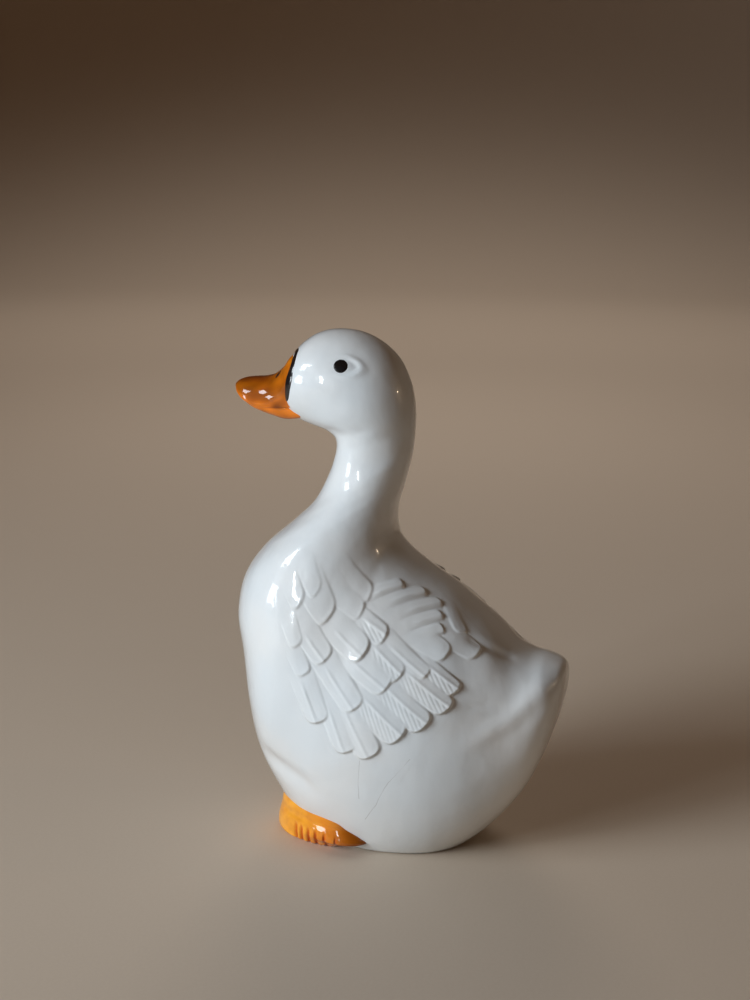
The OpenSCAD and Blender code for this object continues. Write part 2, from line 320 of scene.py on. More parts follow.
def loft(rings):
    """Closed mesh through rings of points, as lists of points and faces."""
    rings = np.asarray(rings, float)
    m, n = rings.shape[:2]
    points = list(rings.reshape(-1, 3)) + [rings[0].mean(0), rings[-1].mean(0)]
    i, j = np.meshgrid(np.arange(m - 1), np.arange(n), indexing="ij")
    nxt = (j + 1) % n
    quads = np.stack([i * n + j, (i + 1) * n + j, (i + 1) * n + nxt, i * n + nxt], -1)
    faces = quads.reshape(-1, 4).tolist()
    last = (m - 1) * n
    faces += [[m * n, k, (k + 1) % n] for k in range(n)]
    faces += [[m * n + 1, last + (k + 1) % n, last + k] for k in range(n)]
    return np.array(points), faces


def signed_volume(points, faces):
    """Volume of a closed mesh, negative if its faces point inward."""
    total = 0.0
    for f in faces:
        a = points[f[0]]
        for k in range(1, len(f) - 1):
            total += a @ np.cross(points[f[k]], points[f[k + 1]])
    return total / 6


def make(name, points, faces, sharp=50.0):
    """A smooth-shaded object from points in design millimetres, its faces turned outward."""
    if signed_volume(points, faces) < 0:
        faces = [f[::-1] for f in faces]
    mesh = bpy.data.meshes.new(name)
    mesh.from_pydata((np.asarray(points) * SCALE).tolist(), [], faces)
    mesh.update()
    obj = bpy.data.objects.new(name, mesh)
    bpy.context.scene.collection.objects.link(obj)
    smooth_faces(obj, sharp)
    return obj


def smooth_faces(obj, sharp=50.0):
    obj.data.polygons.foreach_set("use_smooth", [True] * len(obj.data.polygons))
    obj.data.set_sharp_from_angle(angle=math.radians(sharp))


def cut(obj, tools):
    """Takes the tool meshes away from obj and deletes them."""
    bpy.context.view_layer.objects.active = obj
    for tool in tools:
        modifier = obj.modifiers.new("cut", "BOOLEAN")
        modifier.operation = "DIFFERENCE"
        modifier.solver = "EXACT"
        modifier.object = tool
        bpy.ops.object.modifier_apply(modifier=modifier.name)
        bpy.data.objects.remove(tool)


def per_point(obj, name, values, kind="FLOAT"):
    """Stores one value or colour for every point of the mesh."""
    attribute = obj.data.attributes.new(name, kind, "POINT")
    values = np.asarray(values, np.float32)
    if kind == "FLOAT_COLOR":
        values = np.concatenate([values, np.ones((len(values), 1), np.float32)], 1)
        attribute.data.foreach_set("color", values.ravel())
    else:
        attribute.data.foreach_set("value", values)


def mirrored(points, side):
    """The points as they are for side 1, and on the other side of the bird for side -1."""
    return np.asarray(points) * (side, 1, 1)


def finish_piece(obj, nodes, material):
    """Puts a piece on the only body, in place of its CAD nodes."""
    obj.data.materials.append(material)
    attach(obj, "root")
    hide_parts(*nodes)


# ---------------------------------------------------------------- camera and light

CAMERA_SIDE = (105.0, 13.88)  # azimuth and elevation
CAMERA_ROLL = 0.6  # degrees
CAMERA_HEIGHTS = 3.007  # distance from the target, in heights of the goose
GOOSE_MIDDLE = Vector((0, 0, 0.09))
DAYLIGHT = (0.86, 0.94, 1.0)
LIGHT_SPREAD = 90  # degrees


def direction(azimuth, elevation):
    """Unit vector from the goose; azimuth 0 points ahead of the bill and 90 to its left."""
    a, e = math.radians(azimuth), math.radians(elevation)
    return Vector((math.sin(a) * math.cos(e), -math.cos(a) * math.cos(e), math.sin(e)))


def make_camera():
    size = cad_high - cad_low
    target = Vector((-0.058 * size.x, -0.090 * size.y, 0.666 * size.z))
    back = direction(*CAMERA_SIDE)
    data = bpy.data.cameras.new("camera")
    data.sensor_width = 36.0
    data.lens = 55.8
    camera = bpy.data.objects.new("camera", data)
    bpy.context.scene.collection.objects.link(camera)
    roll = Matrix.Rotation(math.radians(CAMERA_ROLL), 4, "Z")
    turn = back.to_track_quat("Z", "Y").to_matrix().to_4x4()
    camera.matrix_world = Matrix.Translation(target + back * CAMERA_HEIGHTS * size.z) @ turn @ roll
    bpy.context.scene.camera = camera


def area_light(name, azimuth, elevation, distance, size, power_w, color, mirrored_in_glaze=True):
    """Rectangular light that faces the goose; the distance is from the middle of the goose."""
    data = bpy.data.lights.new(name, "AREA")
    data.shape = "RECTANGLE"
    data.size, data.size_y = size
    data.spread = math.radians(LIGHT_SPREAD)
    data.energy = power_w
    data.color = color
    light = bpy.data.objects.new(name, data)
    bpy.context.scene.collection.objects.link(light)
    way = direction(azimuth, elevation)
    light.location = GOOSE_MIDDLE + way * distance
    light.rotation_mode = "QUATERNION"
    light.rotation_quaternion = way.to_track_quat("Z", "Y")
    light.visible_glossy = mirrored_in_glaze


def backdrop_light():
    """Soft spot from above on the floor behind the goose."""
    data = bpy.data.lights.new("backdrop", "SPOT")
    data.energy = 28.0
    data.color = (1.0, 0.94, 0.88)
    data.spot_size = math.radians(95)
    data.spot_blend = 1.0
    data.shadow_soft_size = 0.2
    light = bpy.data.objects.new("backdrop", data)
    bpy.context.scene.collection.objects.link(light)
    light.location = direction(285, 0) * 1.3 + Vector((0, 0, 1.3))
    light.visible_glossy = False


def make_studio():
    area_light("window_low", 33, 5, 1.25, (0.24, 0.27), 0.58, DAYLIGHT)
    area_light("window_high", 33, 28, 1.25, (0.24, 0.27), 0.58, DAYLIGHT)
    area_light("window_side", 60, 14, 1.25, (0.09, 0.26), 0.42, DAYLIGHT)
    area_light("softbox", 47, 18, 1.35, (0.4, 0.6), 2.8, DAYLIGHT, mirrored_in_glaze=False)
    fill = (1.0, 0.92, 0.84)
    area_light("fill_right", 285, 30, 1.3, (0.5, 0.5), 0.7, fill, mirrored_in_glaze=False)
    backdrop_light()
    area_light("lamp", 193, 14, 1.3, (0.05, 0.05), 0.14, (1.0, 0.76, 0.52))
    world = bpy.data.worlds.new("room")
    bpy.context.scene.world = world
    world.use_nodes = True
    sky = world.node_tree.nodes["Background"]
    sky.inputs["Color"].default_value = (0.85, 0.46, 0.22, 1)
    sky.inputs["Strength"].default_value = 0.07
    bpy.context.scene.view_settings.view_transform = "Standard"
    make_sweep()


def make_sweep():
    """Pale round floor that curves up into a wall on every side."""
    flat, rise, top = 1.7, 0.7, 2.0  # metres: flat part, bend and wall
    profile = [(r * flat / 6, 0.0) for r in range(1, 7)]
    profile += [
        (flat + rise * math.sin(math.radians(a)), rise - rise * math.cos(math.radians(a)))
        for a in range(6, 91, 6)
    ]
    profile.append((flat + rise, top))
    sides = 96
    points = [(0.0, 0.0, 0.0)]
    for r, z in profile:
        points += [
            (r * math.cos(2 * math.pi * k / sides), r * math.sin(2 * math.pi * k / sides), z)
            for k in range(sides)
        ]
    faces = [[0, 1 + k, 1 + (k + 1) % sides] for k in range(sides)]
    for i in range(len(profile) - 1):
        a, b = 1 + i * sides, 1 + (i + 1) * sides
        faces += [[a + k, b + k, b + (k + 1) % sides, a + (k + 1) % sides] for k in range(sides)]
    mesh = bpy.data.meshes.new("floor")
    mesh.from_pydata(points, [], faces)
    floor = bpy.data.objects.new("floor", mesh)
    bpy.context.scene.collection.objects.link(floor)
    mesh.polygons.foreach_set("use_smooth", [True] * len(mesh.polygons))
    material, nodes, links, shader = new_material("floor_paint")
    grain = noise(nodes, links, 900, detail=3)
    tone = mix_color(nodes, links, grain, (0.60, 0.50, 0.40), (0.64, 0.54, 0.44))
    links.new(tone, shader.inputs["Base Color"])
    shader.inputs["Roughness"].default_value = 0.75
    mesh.materials.append(material)


# ---------------------------------------------------------------- materials


def new_material(name):
    material = bpy.data.materials.new(name)
    material.use_nodes = True
    tree = material.node_tree
    return material, tree.nodes, tree.links, tree.nodes["Principled BSDF"]


def coordinates(nodes, links, stretch=(1, 1, 1)):
    """Object coordinates in metres, stretched if asked."""
    where = nodes.new("ShaderNodeTexCoord")
    if stretch == (1, 1, 1):
        return where.outputs["Object"]
    mapping = nodes.new("ShaderNodeMapping")
    mapping.inputs["Scale"].default_value = stretch
    links.new(where.outputs["Object"], mapping.inputs["Vector"])
    return mapping.outputs["Vector"]


def noise(nodes, links, scale, detail=2.0, roughness=0.5, stretch=(1, 1, 1)):
    node = nodes.new("ShaderNodeTexNoise")
    node.inputs["Scale"].default_value = scale
    node.inputs["Detail"].default_value = detail
    node.inputs["Roughness"].default_value = roughness
    links.new(coordinates(nodes, links, stretch), node.inputs["Vector"])
    return node.outputs["Fac"]


def ramp(nodes, links, value, low, high, out_low=0.0, out_high=1.0):
    node = nodes.new("ShaderNodeMapRange")
    node.interpolation_type = "SMOOTHSTEP"
    limits = {"From Min": low, "From Max": high, "To Min": out_low, "To Max": out_high}
    for socket, number in limits.items():
        node.inputs[socket].default_value = number
    links.new(value, node.inputs["Value"])
    return node.outputs["Result"]


def combine(nodes, links, operation, a, b):
    """A Math node; a and b are each a number or an output."""
    node = nodes.new("ShaderNodeMath")
    node.operation = operation
    for socket, value in zip(node.inputs, (a, b)):
        if isinstance(value, (int, float)):
            socket.default_value = value
        else:
            links.new(value, socket)
    return node.outputs["Value"]


def mix_color(nodes, links, factor, a, b, blend="MIX"):
    """Colour a where the factor is 0 and b where it is 1; each is a colour or an output."""
    node = nodes.new("ShaderNodeMix")
    node.data_type = "RGBA"
    node.blend_type = blend
    for socket, value in zip((node.inputs[0], node.inputs[6], node.inputs[7]), (factor, a, b)):
        if isinstance(value, (int, float)):
            socket.default_value = value
        elif isinstance(value, tuple):
            socket.default_value = (*value, 1)
        else:
            links.new(value, socket)
    return node.outputs[2]


def attribute(nodes, name, output="Fac"):
    node = nodes.new("ShaderNodeAttribute")
    node.attribute_name = name
    return node.outputs[output]


def bump(nodes, links, height, strength, distance, normal=None):
    node = nodes.new("ShaderNodeBump")
    node.inputs["Strength"].default_value = strength
    node.inputs["Distance"].default_value = distance
    links.new(height, node.inputs["Height"])
    if normal is not None:
        links.new(normal, node.inputs["Normal"])
    return node.outputs["Normal"]


def glaze_surface(nodes, links, shader, pits=0.1):
    """The wavy, very glossy skin that all the glazes share."""
    ripple = noise(nodes, links, 130, detail=2.0, stretch=(1, 1, 0.7))
    dimple = noise(nodes, links, 520, detail=1.0)
    wavy = bump(nodes, links, ripple, 0.45, 0.0005)
    pitted = bump(nodes, links, dimple, pits, 0.00013, wavy)
    links.new(pitted, shader.inputs["Normal"])
    links.new(pitted, shader.inputs["Coat Normal"])
    shader.inputs["Coat Roughness"].default_value = 0.035
    shader.inputs["Coat IOR"].default_value = 1.52


def vector_math(nodes, links, operation, a, b):
    """A Vector Math node; a and b are each a vector or an output."""
    node = nodes.new("ShaderNodeVectorMath")
    node.operation = operation
    for socket, value in zip(node.inputs, (a, b)):
        if isinstance(value, tuple):
            socket.default_value = value
        else:
            links.new(value, socket)
    return node.outputs["Value" if operation in ("LENGTH", "DOT_PRODUCT") else "Vector"]


def hairlines(nodes, links):
    """The few long cracks on the left flank, measured as seen from the left: 1 in a crack."""
    flat = (0.12, 1.0, 1.0)
    wobble = nodes.new("ShaderNodeTexNoise")
    wobble.inputs["Scale"].default_value = 120
    links.new(coordinates(nodes, links), wobble.inputs["Vector"])
    shift = vector_math(nodes, links, "MULTIPLY", wobble.outputs["Color"], (0.0016, 0.0016, 0.0016))
    where = vector_math(nodes, links, "ADD", coordinates(nodes, links), shift)
    where = vector_math(nodes, links, "MULTIPLY", where, flat)
    nearest = None
    for crack in CRACKS:
        for start, end in zip(crack, crack[1:]):
            start, end = Vector(start) * Vector(flat) * SCALE, Vector(end) * Vector(flat) * SCALE
            step = end - start
            offset = vector_math(nodes, links, "SUBTRACT", where, tuple(start))
            per_step = tuple(step / step.length_squared)
            share = vector_math(nodes, links, "DOT_PRODUCT", offset, per_step)
            share = combine(nodes, links, "MAXIMUM", share, 0.0)
            share = combine(nodes, links, "MINIMUM", share, 1.0)
            along_step = nodes.new("ShaderNodeVectorMath")
            along_step.operation = "SCALE"
            along_step.inputs[0].default_value = tuple(step)
            links.new(share, along_step.inputs["Scale"])
            gap = vector_math(nodes, links, "SUBTRACT", offset, along_step.outputs["Vector"])
            gap = vector_math(nodes, links, "LENGTH", gap, (0.0, 0.0, 0.0))
            nearest = gap if nearest is None else combine(nodes, links, "MINIMUM", nearest, gap)
    split = nodes.new("ShaderNodeSeparateXYZ")
    links.new(coordinates(nodes, links), split.inputs["Vector"])
    left = ramp(nodes, links, split.outputs["X"], 0.010, 0.014)
    line = ramp(nodes, links, nearest, 0.00006, 0.0002, 1, 0)
    return combine(nodes, links, "MULTIPLY", line, left)


def white_glaze():
    """Blue-white glaze: greyer in the wing's recesses (glaze pooling plus painted shade), with
    specks, darker crack lines that include painted shade, and a bare underside.
    """
    material, nodes, links, shader = new_material("white_glaze")
    cloud = ramp(nodes, links, noise(nodes, links, 28, detail=3), 0.35, 0.7)
    tone = mix_color(nodes, links, cloud, (0.77, 0.815, 0.845), (0.82, 0.83, 0.83))
    pool_and_shade = attribute(nodes, "pool_and_shade")
    # greyer in the wing's recesses: partly glaze pooling, partly painted shade between the feathers
    tone = mix_color(nodes, links, pool_and_shade, tone, (0.47, 0.50, 0.53))
    # the cracks are drawn as darker lines: the crack itself plus painted shade beside it
    crack = combine(nodes, links, "MULTIPLY", hairlines(nodes, links), 0.5)
    tone = mix_color(nodes, links, crack, tone, (0.36, 0.34, 0.33))
    specks = nodes.new("ShaderNodeTexVoronoi")
    specks.inputs["Scale"].default_value = 170
    links.new(coordinates(nodes, links), specks.inputs["Vector"])
    dot = ramp(nodes, links, specks.outputs["Distance"], 0.03, 0.05, 1, 0)
    rare = ramp(nodes, links, noise(nodes, links, 90), 0.66, 0.68, 0, 0.7)
    speck = combine(nodes, links, "MULTIPLY", dot, rare)
    tone = mix_color(nodes, links, speck, tone, (0.30, 0.22, 0.16))
    bare = bare_foot(nodes, links)
    tone = mix_color(nodes, links, bare, tone, (0.62, 0.54, 0.44))
    links.new(tone, shader.inputs["Base Color"])
    links.new(ramp(nodes, links, bare, 0, 1, 0.30, 0.85), shader.inputs["Roughness"])
    links.new(ramp(nodes, links, bare, 0, 1, 1, 0), shader.inputs["Coat Weight"])
    glaze_surface(nodes, links, shader, pits=0.2)
    return material


def bare_foot(nodes, links):
    """1 where the wiped, unglazed underside is, with an uneven glaze line."""
    split = nodes.new("ShaderNodeSeparateXYZ")
    links.new(coordinates(nodes, links), split.inputs["Vector"])
    uneven = ramp(nodes, links, noise(nodes, links, 120), 0.3, 0.7, -0.00012, 0.00012)
    height = combine(nodes, links, "ADD", split.outputs["Z"], uneven)
    return ramp(nodes, links, height, 0.00022, 0.00034, 1, 0)


def orange_glaze(name):
    """Orange glaze over colours stored in the mesh, darker in faint streaks."""
    material, nodes, links, shader = new_material(name)
    tint = attribute(nodes, "tint", "Color")
    streak = ramp(nodes, links, noise(nodes, links, 240, detail=4, stretch=(1, 0.5, 1)), 0.35, 0.7)
    deep = mix_color(nodes, links, 1.0, tint, (0.72, 0.56, 0.45), "MULTIPLY")
    tone = mix_color(nodes, links, combine(nodes, links, "MULTIPLY", streak, 0.55), tint, deep)
    links.new(tone, shader.inputs["Base Color"])
    shader.inputs["Roughness"].default_value = 0.4
    shader.inputs["Specular IOR Level"].default_value = 0.1
    shader.inputs["Coat Weight"].default_value = 1.0
    glaze_surface(nodes, links, shader)
    return material


def dark_glaze(name, color, edge):
    """Painted spot or line: nearly even, thinning to a browner edge tone in places."""
    material, nodes, links, shader = new_material(name)
    thin = ramp(nodes, links, noise(nodes, links, 650, detail=3), 0.5, 0.75)
    links.new(mix_color(nodes, links, thin, color, edge), shader.inputs["Base Color"])
    shader.inputs["Roughness"].default_value = 0.25
    shader.inputs["Coat Weight"].default_value = 1.0
    glaze_surface(nodes, links, shader)
    return material


def biscuit():
    """Matt unglazed clay with fine grit."""
    material, nodes, links, shader = new_material("biscuit")
    cloud = noise(nodes, links, 60, detail=4)
    tone = mix_color(nodes, links, cloud, (0.66, 0.58, 0.48), (0.54, 0.46, 0.37))
    grit = noise(nodes, links, 1400, detail=3, roughness=0.7)
    grains = ramp(nodes, links, grit, 0.62, 0.7, 0, 0.6)
    tone = mix_color(nodes, links, grains, tone, (0.40, 0.33, 0.26))
    links.new(tone, shader.inputs["Base Color"])
    shader.inputs["Roughness"].default_value = 0.9
    links.new(bump(nodes, links, grit, 0.5, 0.0002), shader.inputs["Normal"])
    return material


# ---------------------------------------------------------------- body


def outward(t, a):
    """Direction straight out of the plain body."""
    return unit(np.cross(skin(t + 0.05, a) - skin(t - 0.05, a), skin(t, a + 1) - skin(t, a - 1)))


def level_ahead(out):
    """The bill's direction, laid along the surface that faces out."""
    ahead = np.array([0.0, -1.0, 0.0])
    return unit(ahead - out * (ahead @ out))


def eye_frame():
    """Centre of the eye on the plain body, with its outward, forward and upward directions."""
    t, a = EYE_SPOT
    out = outward(t, a)
    ahead = level_ahead(out)
    up = np.cross(out, ahead)
    return skin(t, a), out, ahead, up * (1 if up[2] > 0 else -1)


def eye_relief(points):
    """Almond-shaped lids round the eye, highest behind and above it."""
    centre, out, ahead, up = eye_frame()
    offset = points - centre
    u, v = offset @ ahead + 1.2, offset @ up
    r = np.sqrt((u / 6.4) ** 2 + (v / 4.0) ** 2 * (1 + 0.25 * np.clip(np.abs(u) / 6.4, 0, 1)))
    near = np.exp(-((offset @ out) / 6.0) ** 2)
    behind = 0.5 + 0.5 * np.tanh((-u * 0.7 + v * 0.1) / 2.5)
    lid = 0.46 * behind * np.exp(-(((r - 0.86) / 0.2) ** 2))
    socket = -0.30 * np.exp(-(((r - 0.55) / 0.16) ** 2)) * behind
    ball = 0.22 * np.exp(-((r / 0.4) ** 2))
    return (lid + socket + ball) * near


def groove(points, path, depth, radius, fade):
    """A soft furrow along a path, running out at both ends."""
    gap, place = near_path(points, path)
    ends = smooth(0, fade, place) * smooth(0, fade, 1 - place)
    return -depth * np.exp(-((gap / radius) ** 2)) * ends


def relief(points):
    """Modelled detail in mm outward, the same on both sides of the bird."""
    p = points.copy()
    p[..., 0] = np.abs(p[..., 0])
    total = 0.10 * waves(p, 4, 34) + 0.025 * waves(p, 9, 9)
    total += eye_relief(p)
    for path, depth, radius, fade in FURROWS:
        total += groove(p, path, depth, radius, fade)
    return total


def body_grid():
    """The body's skin as a grid of points, and its plain normals."""
    per_station = int(8 * FINE)
    t = np.linspace(0, len(STATIONS) - 1, (len(STATIONS) - 1) * per_station + 1)[:, None]
    a = np.arange(0, 360, 360 / int(208 * FINE))[None, :]
    points = skin(t, a)
    out = grid_normals(points, closed=True)
    middle = points.mean(1, keepdims=True)
    if ((points - middle) * out).sum() < 0:
        out = -out
    fade = smooth(0, 1.5, t) * smooth(0, 1.5, len(STATIONS) - 1 - t)
    points = points + out * (relief(points) * fade)[..., None]
    points[..., 2] = soft_floor(points[..., 2])
    return points


def cavity():
    """The inside of the casting, as a cutting tool."""
    a = np.arange(0, 360, 360 / 64)
    rings = np.array([skin(np.full(64, t), a, WALL) for t in np.arange(3.0, 30.01, 0.5)])
    rings[..., 2] = np.maximum(rings[..., 2], FLOOR_THICK)
    return make("cavity", *loft(rings))


def oval(half_x, half_y, z, sides=96):
    a = np.arange(sides) * 2 * math.pi / sides
    x, y = OPENING[0] + half_x * np.cos(a), OPENING[1] + half_y * np.sin(a)
    return np.stack([x, y, np.full(sides, z)], -1)


def make_body(material):
    """The white casting. Returns a search tree of its skin, for the pieces that lie on it."""
    points, faces = loft(body_grid())
    tree = BVHTree.FromPolygons([Vector(p) for p in points], faces)
    body = make("body", points, faces)
    inside = 0.4  # the bottom plate reaches this far into the body
    half_x, half_y = OPENING[2] - inside, OPENING[3] - inside
    hole = make("hole", *loft([oval(half_x, half_y, z) for z in (-1, FLOOR_THICK + 1)]))
    cut(body, [cavity(), hole])
    smooth_faces(body)
    finish_piece(body, ["body_shell"], material)
    return tree


def make_base(material):
    """Bottom plate: a shallow recess inside the foot, with a rounded vent hole."""
    half_x, half_y = OPENING[2] - 0.1, OPENING[3] - 0.1
    # each ring: its place between the vent (0) and the outer edge (1), and its height
    profile = [(1.0, 5.4), (1.0, 0.9), (0.985, 0.5), (0.95, 0.4)]
    profile += [(0.6, 0.45), (0.2, 0.5), (0.06, 0.55)]
    profile += [(0.05 * (1 - math.sin(a)), 1.6 - math.cos(a)) for a in (0.4, 0.8, 1.2, 1.57)]
    profile += [(0.0, 3.0), (0.0, 4.8), (0.05, 5.4)]
    rings = []
    for share, z in profile:
        outer, inner = oval(half_x, half_y, z), oval(VENT_RADIUS, VENT_RADIUS, z)
        rings.append(inner + (outer - inner) * share)
    rings = np.array(rings)
    m, n = rings.shape[:2]
    faces = [
        [i * n + j, ((i + 1) % m) * n + j, ((i + 1) % m) * n + (j + 1) % n, i * n + (j + 1) % n]
        for i in range(m)
        for j in range(n)
    ]
    base = make("base", rings.reshape(-1, 3), faces)
    finish_piece(base, ["base_disc"], material)


# ---------------------------------------------------------------- wings


def feather(p, row, number):
    """Height of one feather over the wing at the flat points p, and nothing outside it."""
    root, tip = np.array(row[0:2], float), np.array(row[2:4], float)
    width, rise, barbs = row[4] / 2, row[5], row[6]
    length = np.linalg.norm(tip - root)
    ahead = (tip - root) / length
    side = np.array([-ahead[1], ahead[0]])
    u, v = (p - root) @ ahead, (p - root) @ side
    tip_round = 0.85 * width
    past = np.clip(u - (length - tip_round), 0, None) / tip_round
    r = (np.abs(v / width) ** 2.8 + past**2.8) ** (1 / 2.8)
    inside = width * (1 - r)
    edge = smooth(-0.15, 0.35, inside) * smooth(-2.5, 1.5, u)
    slope = 0.85 if length > 13 else 0.65
    height = rise * (1 - slope + slope * np.clip(u / length, 0, 1)) * (1 - 0.55 * (v / width) ** 2)
    height = height + 0.10 * np.exp(-(((inside - 0.7) / 0.4) ** 2)) * smooth(0.4, 0.9, u / length)
    quill = 0.22 * width * (-1 if barbs >= 0 else 1)
    if length > 11:
        height = height + 0.22 * np.exp(-(((v - quill) / 0.5) ** 2)) * smooth(0.1, 0.4, u / length)
    if barbs:
        lean = math.radians(62)
        across = (v - quill) * barbs
        phase = (across * math.sin(lean) - u * math.cos(lean)) * 0.8 + 0.37 * number
        comb = np.abs(np.sin(math.pi * phase)) ** 0.8
        vane = smooth(0.2, 0.7, across) * smooth(0.4, 0.9, inside) * smooth(0.15, 0.35, u / length)
        height = height - 0.28 * (1 - comb) * vane
    return height * edge


def wing_relief(p):
    """Height of the whole wing over the body at the flat points p."""
    total = np.zeros(p.shape[:-1])
    for number, row in enumerate(FEATHERS):
        total = np.maximum(total, feather(p, row, number))
    return total


def blur(values, times):
    for _ in range(times):
        padded = np.pad(values, 1, mode="edge")
        values = (
            padded[:-2, 1:-1] + padded[2:, 1:-1] + padded[1:-1, :-2] + padded[1:-1, 2:] + 2 * values
        ) / 6
    return values


def make_wing(name, side, tree, material):
    """A thin closed patch over the body that carries the feathers."""
    coarse = 6
    steps = coarse * int(46 * FINE), coarse * int(48 * FINE)
    place = np.linspace(0, len(PATCH_EDGES) - 1, steps[0] + 1)
    edges = along(PATCH_EDGES, place)
    share = np.linspace(0, 1, steps[1] + 1)
    across = edges[:, 0:1] + (edges[:, 1:2] - edges[:, 0:1]) * share[None, :]
    lengthwise = np.broadcast_to((PATCH_START + PATCH_STEP * place)[:, None], across.shape)
    flat = np.stack([lengthwise, across], -1)
    y = SHOULDER[0] + flat[..., 0] * math.cos(SLANT) + flat[..., 1] * math.sin(SLANT)
    wrap = (SHOULDER[1] - flat[..., 0] * math.sin(SLANT) + flat[..., 1] * math.cos(SLANT)) / WRAP
    base = np.empty(flat.shape[:2] + (3,))
    for i in range(base.shape[0]):
        for j in range(base.shape[1]):
            way = Vector((math.cos(wrap[i, j]), 0, math.sin(wrap[i, j])))
            base[i, j] = tree.ray_cast(Vector((0, y[i, j], AXIS_Z)), way)[0]
    out = grid_normals(base, closed=False)
    if out[..., 0].sum() < 0:
        out = -out
    out = unit(np.stack([blur(out[..., k], 4) for k in range(3)], -1))
    height = wing_relief(flat)
    i, j = np.meshgrid(np.arange(steps[0] + 1), np.arange(steps[1] + 1), indexing="ij")
    length = PATCH_STEP * (len(PATCH_EDGES) - 1)
    breadth = (edges[:, 1] - edges[:, 0])[:, None]
    from_ends = np.minimum(i, steps[0] - i) * length / steps[0]
    from_sides = np.minimum(j, steps[1] - j) * breadth / steps[1]
    rim = np.minimum(from_ends, from_sides)
    sink = 0.02 - 0.30 * np.clip(1 - rim / 3.5, 0, 1) ** 2
    height = blur(height, 3) * smooth(1.0, 3.5, rim) + sink
    top = base + out * height[..., None]
    bottom = (base - out * 1.2)[::coarse, ::coarse]
    points = np.concatenate([top.reshape(-1, 3), bottom.reshape(-1, 3)])
    faces = patch_faces(steps, coarse)
    wing = make(name, mirrored(points, side), faces, sharp=80)
    # hollows between and under the feathers, carried into the glaze colour as glaze pooling plus
    # painted shade
    recess = np.clip((blur(height, 5) - height - 0.02) / 0.22, 0, 1)
    per_point(wing, "pool_and_shade", np.concatenate([0.5 * recess.ravel(), np.zeros(bottom.size // 3)]))
    finish_piece(wing, [name], material)


def patch_faces(steps, coarse):
    """Faces of a fine top grid, a coarse bottom grid and the walls between them."""
    n = steps[1] + 1
    faces = [
        [i * n + j, (i + 1) * n + j, (i + 1) * n + j + 1, i * n + j + 1]
        for i in range(steps[0])
        for j in range(steps[1])
    ]
    first = (steps[0] + 1) * n
    rows, columns = steps[0] // coarse, steps[1] // coarse
    m = columns + 1

    def low(i, j):
        return first + i * m + j

    faces += [
        [low(i, j), low(i, j + 1), low(i + 1, j + 1), low(i + 1, j)]
        for i in range(rows)
        for j in range(columns)
    ]
    for k in range(columns):
        for i, turn in ((0, 1), (rows, -1)):
            fine = [i * coarse * n + k * coarse + s for s in range(coarse + 1)]
            faces.append((fine + [low(i, k + 1), low(i, k)])[::turn])
    for k in range(rows):
        for j, turn in ((0, -1), (columns, 1)):
            fine = [(k * coarse + s) * n + j * coarse for s in range(coarse + 1)]
            faces.append((fine + [low(k + 1, j), low(k, j)])[::turn])
    return faces


# ---------------------------------------------------------------- painted spots


def onto(tree, point, out):
    """The surface point under this one, looking along its outward direction."""
    hit = tree.ray_cast(Vector(point + out * 4), Vector(-out))[0]
    return point if hit is None else np.array(hit)


def spot(tree, centre, out, ahead, up, outline, rise):
    """A low dome that follows the surface: outline gives its half sizes ahead and up."""
    # each ring: its share of the outline, and how far it stands out of the surface
    profile = [(0.92, -0.4), (1.0, -0.05)]
    profile += [(0.97, 0.35 * rise), (0.88, 0.7 * rise), (0.7, 0.9 * rise)]
    profile += [(0.4, 0.98 * rise), (0.1, rise)]
    rings = []
    for share, lift in profile:
        ring = []
        for k in range(40):
            a = 2 * math.pi * k / 40
            offset = ahead * outline[0] * math.cos(a) + up * outline[1] * math.sin(a)
            ring.append(onto(tree, centre + offset * share, out) + out * lift)
        rings.append(ring)
    return loft(rings)


def make_eyes(tree, material):
    centre, out, ahead, up = eye_frame()
    for name, side in (("left_eye", 1), ("right_eye", -1)):
        points, faces = spot(tree, centre, out, ahead, up, (EYE_RADIUS, EYE_RADIUS * 0.97), 0.16)
        finish_piece(make(name, mirrored(points, side), faces), [name], material)


def make_band(tree, material):
    """Hand-painted black line round the root of the bill, swelling and thinning a little."""
    rings = []
    for a in np.arange(-132, 132.1, 2.0):
        t = 31.65 - 0.6 * float(smooth(0, 50, abs(a))) - 1.0 * (a / 130) ** 2
        centre = skin(t, a)
        out = outward(t, a)
        ahead = unit(skin(t + 0.1, a) - skin(t - 0.1, a))
        end = math.sqrt(max(0.02, 1 - (abs(a) / 133) ** 10))
        low = float(smooth(50, 115, abs(a)))
        half = (1.2 + 0.45 * low + 0.12 * math.sin(a * 0.075 + 1) + 0.06 * math.sin(a * 0.21)) * end
        ring = []
        for v in np.linspace(-1, 1, 9):
            rise = 0.2 * math.sqrt(max(0, 1 - v * v))
            ring.append(onto(tree, centre + ahead * half * v, out) + out * rise)
        for v in (0.9, 0.0, -0.9):
            ring.append(onto(tree, centre + ahead * half * v, out) - out * 0.35)
        rings.append(ring)
    band = make("bill_band", *loft(rings))
    finish_piece(band, ["bill_band"], material)


# ---------------------------------------------------------------- bill


